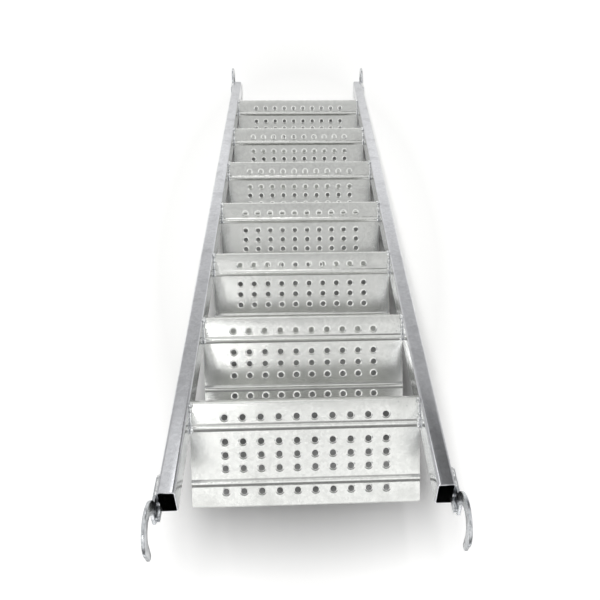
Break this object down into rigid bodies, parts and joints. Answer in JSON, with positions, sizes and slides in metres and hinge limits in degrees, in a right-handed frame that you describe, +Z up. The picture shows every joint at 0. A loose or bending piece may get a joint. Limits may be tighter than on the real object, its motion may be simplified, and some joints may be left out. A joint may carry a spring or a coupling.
{
  "type": "scaffold staircase",
  "caption": "Galvanised scaffold stair unit with perforated steel treads between rectangular tube stringers and ledger hooks at both ends.",
  "frame": {"origin": "on the axis of the upper ledger, midway between the two upper hooks", "axes": "treads level; +Z up, +X across the stair, -Y towards the upper end, +Y towards the foot"},
  "size_m": [0.492, 1.1796, 1.7081],
  "materials": {
    "galvanised_steel": "hot-dip galvanised, dull satin with faint spangle",
    "weld_zinc": "galvanised weld bead, rough"
  },
  "bodies": {
    "root": {"left_stringer": "galvanised_steel", "upper_left_lug": "galvanised_steel", "upper_left_hook": "galvanised_steel", "upper_left_hook_welds": "weld_zinc", "lower_left_hook": "galvanised_steel", "lower_left_hook_welds": "weld_zinc", "right_stringer": "galvanised_steel", "upper_right_lug": "galvanised_steel", "upper_right_hook": "galvanised_steel", "upper_right_hook_welds": "weld_zinc", "lower_right_hook": "galvanised_steel", "lower_right_hook_welds": "weld_zinc", "tread_1": "galvanised_steel", "tread_1_welds": "weld_zinc", "tread_2": "galvanised_steel", "tread_2_welds": "weld_zinc", "tread_3": "galvanised_steel", "tread_3_welds": "weld_zinc", "tread_4": "galvanised_steel", "tread_4_welds": "weld_zinc", "tread_5": "galvanised_steel", "tread_5_welds": "weld_zinc", "tread_6": "galvanised_steel", "tread_6_welds": "weld_zinc", "tread_7": "galvanised_steel", "tread_7_welds": "weld_zinc"}
  },
  "joints": []
}
